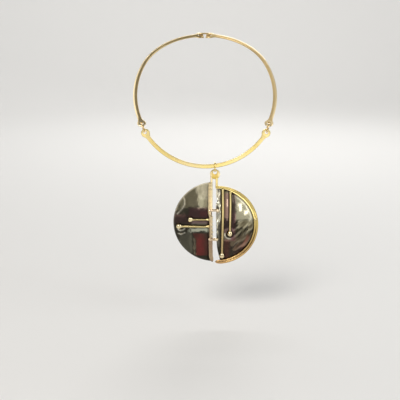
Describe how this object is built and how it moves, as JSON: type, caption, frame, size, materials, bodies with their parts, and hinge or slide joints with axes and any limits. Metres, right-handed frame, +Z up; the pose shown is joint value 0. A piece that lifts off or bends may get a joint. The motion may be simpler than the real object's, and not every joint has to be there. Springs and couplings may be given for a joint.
{
  "type": "collar necklace",
  "caption": "Rigid collar necklace of curved flat brass bars joined by link rings, with a split disc pendant of domed dark half discs, a brass strip, wires with beads and a raised rim.",
  "frame": {"origin": "middle of the nape, on the centreline of the side bars, where the collar sits on the back of the neck", "axes": "+X to the viewer's right, which is the wearer's left; +Y to the wearer's back; +Z up"},
  "size_m": [0.1354, 0.1066, 0.2118],
  "materials": {
    "brass": "hand-finished warm yellow brass, satin with fine scratches, darker in the corners",
    "dark_metal": "mirror-polished gunmetal with shallow hammered hollows"
  },
  "bodies": {
    "collar": {"left_bar": "brass", "right_bar": "brass", "left_link": "brass", "right_link": "brass", "clasp_hook": "brass"},
    "front": {"front_bar": "brass", "pendant_ring": "brass"},
    "pendant": {"pendant_frame": "brass", "left_plate": "dark_metal", "right_plate": "dark_metal"}
  },
  "joints": [
    {"name": "front_fold", "type": "hinge", "parent": "collar", "child": "front", "pos_m": [0, -0.09847, -0.07835], "axis": [1, 0, 0], "range_deg": [-45, 40]},
    {"name": "pendant_swing", "type": "hinge", "parent": "front", "child": "pendant", "pos_m": [0.009, -0.09847, -0.11463], "axis": [1, 0, 0], "range_deg": [-75, 75]}
  ]
}
